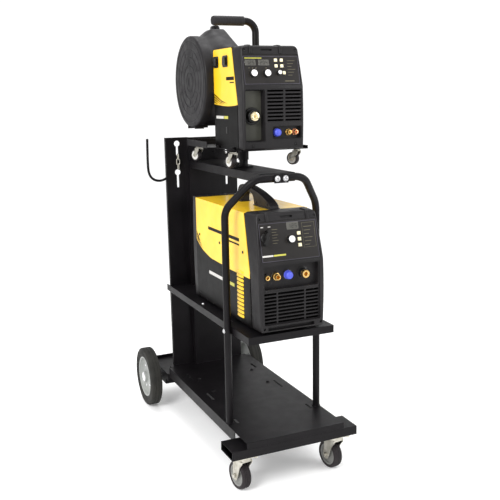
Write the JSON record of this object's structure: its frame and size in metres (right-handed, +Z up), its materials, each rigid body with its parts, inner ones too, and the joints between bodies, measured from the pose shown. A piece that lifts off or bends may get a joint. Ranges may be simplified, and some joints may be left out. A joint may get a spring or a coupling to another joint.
{
  "type": "welding machine on trolley",
  "caption": "Inverter welding power source on the shelf of a steel trolley, with a swivelling wire feeder and round wire drum on top, cable hook and gas bottle platform.",
  "frame": {"origin": "on the floor, centre of the bounding box", "axes": "+Z up, +Y from the control panels to the gas bottle platform, +X to the right seen from the front"},
  "size_m": [0.531, 1.062, 1.5935],
  "materials": {
    "black_powder_coat": "satin powder coat",
    "bright_steel": "turned",
    "zinc_plate": "zinc plated",
    "dark_plastic": "fine moulded grain",
    "panel_film": "printed film",
    "yellow_paint": "satin",
    "socket_brass": "turned",
    "heat_sink": "extruded",
    "black_knob": "moulded",
    "cream_key": "moulded",
    "drum_plastic": "fine moulded grain",
    "copper_wire": "drawn",
    "grip_rubber": "soft matt",
    "tyre_rubber": "moulded",
    "rim_paint": "grey paint",
    "castor_rubber": "moulded"
  },
  "bodies": {
    "trolley": {"deck_plate": "black_powder_coat", "front_crossbeam": "black_powder_coat", "chassis_frame": "black_powder_coat", "rear_axle": "bright_steel", "castor_plates": "zinc_plate", "column_panel": "black_powder_coat", "power_source_shelf": "black_powder_coat", "front_loop_tube": "black_powder_coat", "top_arm": "black_powder_coat", "pivot_post": "black_powder_coat", "cable_hook": "black_powder_coat", "bottle_chain": "zinc_plate", "trolley_fasteners": "bright_steel", "source_front_bezel": "dark_plastic", "source_control_panel": "panel_film", "source_cover": "yellow_paint", "source_base_pan": "black_powder_coat", "source_rear_panel": "dark_plastic", "source_carry_handle": "dark_plastic", "output_sockets": "socket_brass", "inverter_core": "heat_sink"},
    "feeder": {"feeder_tray": "black_powder_coat", "feeder_case": "yellow_paint", "feeder_front_bezel": "dark_plastic", "feeder_control_panel": "panel_film", "feeder_sockets": "socket_brass", "spool_housing": "drum_plastic", "wire_drive": "dark_plastic", "feeder_handle_tube": "black_powder_coat", "feeder_handle_grip": "grip_rubber"},
    "left_wheel": {"left_wheel_tyre": "tyre_rubber", "left_wheel_rim": "rim_paint"},
    "right_wheel": {"right_wheel_tyre": "tyre_rubber", "right_wheel_rim": "rim_paint"},
    "left_castor": {"left_castor_fork": "zinc_plate"},
    "right_castor": {"right_castor_fork": "zinc_plate"},
    "left_castor_roller": {"left_castor_wheel": "castor_rubber"},
    "right_castor_roller": {"right_castor_wheel": "castor_rubber"},
    "fan": {"cooling_fan": "dark_plastic"},
    "main_switch": {"power_switch": "black_knob"},
    "setting_dial": {"setting_knob": "black_knob"},
    "side_door": {"feeder_side_door": "yellow_paint"},
    "drum_lid": {"spool_cover": "drum_plastic"},
    "spool": {"wire_spool": "copper_wire"},
    "feed_roll": {"drive_roll": "bright_steel"},
    "tension_arm": {"pressure_arm": "dark_plastic"},
    "voltage_dial": {"voltage_knob": "black_knob"},
    "wire_speed_dial": {"wire_speed_knob": "black_knob"},
    "trim_dial": {"trim_knob": "black_knob"},
    "source_button_1": {"source_key_1": "cream_key"},
    "source_button_2": {"source_key_2": "cream_key"},
    "source_button_3": {"source_key_3": "cream_key"},
    "feeder_button_1": {"feeder_key_1": "cream_key"},
    "feeder_castor_1": {"feeder_castor_1": "castor_rubber"},
    "feeder_button_2": {"feeder_key_2": "cream_key"},
    "feeder_castor_2": {"feeder_castor_2": "castor_rubber"},
    "feeder_button_3": {"feeder_key_3": "cream_key"},
    "feeder_castor_3": {"feeder_castor_3": "castor_rubber"},
    "feeder_button_4": {"feeder_key_4": "cream_key"},
    "feeder_castor_4": {"feeder_castor_4": "castor_rubber"}
  },
  "joints": [
    {"name": "left_wheel_spin", "type": "hinge", "parent": "trolley", "child": "left_wheel", "pos_m": [-0.2375, 0.406, 0.125], "axis": [1, 0, 0], "continuous": true},
    {"name": "left_castor_swivel", "type": "hinge", "parent": "trolley", "child": "left_castor", "pos_m": [-0.178, -0.481, 0.12], "axis": [0, 0, 1], "continuous": true},
    {"name": "left_castor_roll", "type": "hinge", "parent": "left_castor", "child": "left_castor_roller", "pos_m": [-0.18134, -0.45723, 0.05], "axis": [0.9903, 0.1392, 0], "continuous": true},
    {"name": "right_wheel_spin", "type": "hinge", "parent": "trolley", "child": "right_wheel", "pos_m": [0.2375, 0.406, 0.125], "axis": [1, 0, 0], "continuous": true},
    {"name": "right_castor_swivel", "type": "hinge", "parent": "trolley", "child": "right_castor", "pos_m": [0.178, -0.481, 0.12], "axis": [0, 0, 1], "continuous": true},
    {"name": "right_castor_roll", "type": "hinge", "parent": "right_castor", "child": "right_castor_roller", "pos_m": [0.17466, -0.45723, 0.05], "axis": [0.9903, 0.1392, 0], "continuous": true},
    {"name": "fan_spin", "type": "hinge", "parent": "trolley", "child": "fan", "pos_m": [0, 0.057, 0.73], "axis": [0, 1, 0], "continuous": true},
    {"name": "main_switch_turn", "type": "hinge", "parent": "trolley", "child": "main_switch", "pos_m": [-0.088, -0.48405, 0.86703], "axis": [0, -0.9703, 0.2419], "range_deg": [-90, 0]},
    {"name": "setting_dial_turn", "type": "hinge", "parent": "trolley", "child": "setting_dial", "pos_m": [0.005, -0.48686, 0.85577], "axis": [0, -0.9703, 0.2419], "continuous": true},
    {"name": "source_button_1_press", "type": "slide", "parent": "trolley", "child": "source_button_1", "axis": [0, 0.9703, -0.2419], "range_m": [0, 0.002], "stiffness_N_per_m": 400},
    {"name": "source_button_2_press", "type": "slide", "parent": "trolley", "child": "source_button_2", "axis": [0, 0.9703, -0.2419], "range_m": [0, 0.002], "stiffness_N_per_m": 400},
    {"name": "source_button_3_press", "type": "slide", "parent": "trolley", "child": "source_button_3", "axis": [0, 0.9703, -0.2419], "range_m": [0, 0.002], "stiffness_N_per_m": 400},
    {"name": "feeder_swivel", "type": "hinge", "parent": "trolley", "child": "feeder", "pos_m": [0, -0.127, 1.11], "axis": [0, 0, 1], "continuous": true},
    {"name": "side_door_open", "type": "hinge", "parent": "feeder", "child": "side_door", "pos_m": [-0.066, -0.12, 1.14], "axis": [0, -1, 0], "range_deg": [0, 90]},
    {"name": "drum_lid_open", "type": "hinge", "parent": "feeder", "child": "drum_lid", "pos_m": [-0.09, 0.159, 1.2005], "axis": [0, -1, 0], "range_deg": [0, 90]},
    {"name": "spool_spin", "type": "hinge", "parent": "feeder", "child": "spool", "pos_m": [0, 0.159, 1.375], "axis": [1, 0, 0], "continuous": true},
    {"name": "feed_roll_spin", "type": "hinge", "parent": "feeder", "child": "feed_roll", "pos_m": [0.04, -0.124, 1.236], "axis": [1, 0, 0], "continuous": true},
    {"name": "tension_arm_lift", "type": "hinge", "parent": "feeder", "child": "tension_arm", "pos_m": [0.035, -0.166, 1.276], "axis": [1, 0, 0], "range_deg": [0, 70]},
    {"name": "voltage_dial_turn", "type": "hinge", "parent": "feeder", "child": "voltage_dial", "pos_m": [-0.017, -0.26185, 1.39304], "axis": [0, -0.9781, 0.2079], "range_deg": [-150, 150]},
    {"name": "wire_speed_dial_turn", "type": "hinge", "parent": "feeder", "child": "wire_speed_dial", "pos_m": [0.034, -0.26185, 1.39304], "axis": [0, -0.9781, 0.2079], "range_deg": [-150, 150]},
    {"name": "trim_dial_turn", "type": "hinge", "parent": "feeder", "child": "trim_dial", "pos_m": [0.08, -0.26144, 1.39499], "axis": [0, -0.9781, 0.2079], "range_deg": [-150, 150]},
    {"name": "feeder_button_1_press", "type": "slide", "parent": "feeder", "child": "feeder_button_1", "axis": [0, 0.9781, -0.2079], "range_m": [0, 0.002], "stiffness_N_per_m": 400},
    {"name": "feeder_button_2_press", "type": "slide", "parent": "feeder", "child": "feeder_button_2", "axis": [0, 0.9781, -0.2079], "range_m": [0, 0.002], "stiffness_N_per_m": 400},
    {"name": "feeder_button_3_press", "type": "slide", "parent": "feeder", "child": "feeder_button_3", "axis": [0, 0.9781, -0.2079], "range_m": [0, 0.002], "stiffness_N_per_m": 400},
    {"name": "feeder_button_4_press", "type": "slide", "parent": "feeder", "child": "feeder_button_4", "axis": [0, 0.9781, -0.2079], "range_m": [0, 0.002], "stiffness_N_per_m": 400},
    {"name": "feeder_castor_1_swivel", "type": "hinge", "parent": "feeder", "child": "feeder_castor_1", "pos_m": [-0.072, -0.201, 1.12], "axis": [0, 0, 1], "continuous": true},
    {"name": "feeder_castor_2_swivel", "type": "hinge", "parent": "feeder", "child": "feeder_castor_2", "pos_m": [0.18, -0.201, 1.12], "axis": [0, 0, 1], "continuous": true},
    {"name": "feeder_castor_3_swivel", "type": "hinge", "parent": "feeder", "child": "feeder_castor_3", "pos_m": [-0.06, 0.169, 1.12], "axis": [0, 0, 1], "continuous": true},
    {"name": "feeder_castor_4_swivel", "type": "hinge", "parent": "feeder", "child": "feeder_castor_4", "pos_m": [0.11, 0.169, 1.12], "axis": [0, 0, 1], "continuous": true}
  ]
}
